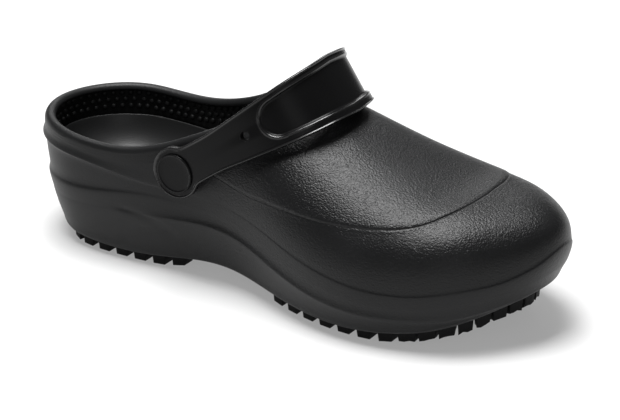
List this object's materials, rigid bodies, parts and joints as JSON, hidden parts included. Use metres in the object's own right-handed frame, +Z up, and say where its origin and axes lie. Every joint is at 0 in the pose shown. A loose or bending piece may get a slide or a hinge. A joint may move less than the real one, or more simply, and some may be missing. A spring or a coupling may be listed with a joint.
{
  "type": "chef clog",
  "caption": "Slip-on work clog in moulded foam with a lugged rubber outsole, a dished footbed and a riveted swing strap, here over the instep.",
  "frame": {"origin": "middle of the clog's box in plan, on the floor that the lugs stand on", "axes": "+X to the toe, +Y to the inner (medial) side of the foot, +Z up"},
  "size_m": [0.2816, 0.107, 0.1148],
  "materials": {
    "moulded_foam": "fine leather grain, satin",
    "outsole_rubber": "matt",
    "footbed_foam": "smooth satin",
    "strap_plastic": "smooth semi-gloss",
    "rivet_plastic": "smooth semi-gloss"
  },
  "bodies": {
    "root": {"upper": "moulded_foam", "outsole": "outsole_rubber", "insole": "footbed_foam", "strap": "strap_plastic", "rivet_lateral": "rivet_plastic", "rivet_medial": "rivet_plastic"}
  },
  "joints": []
}
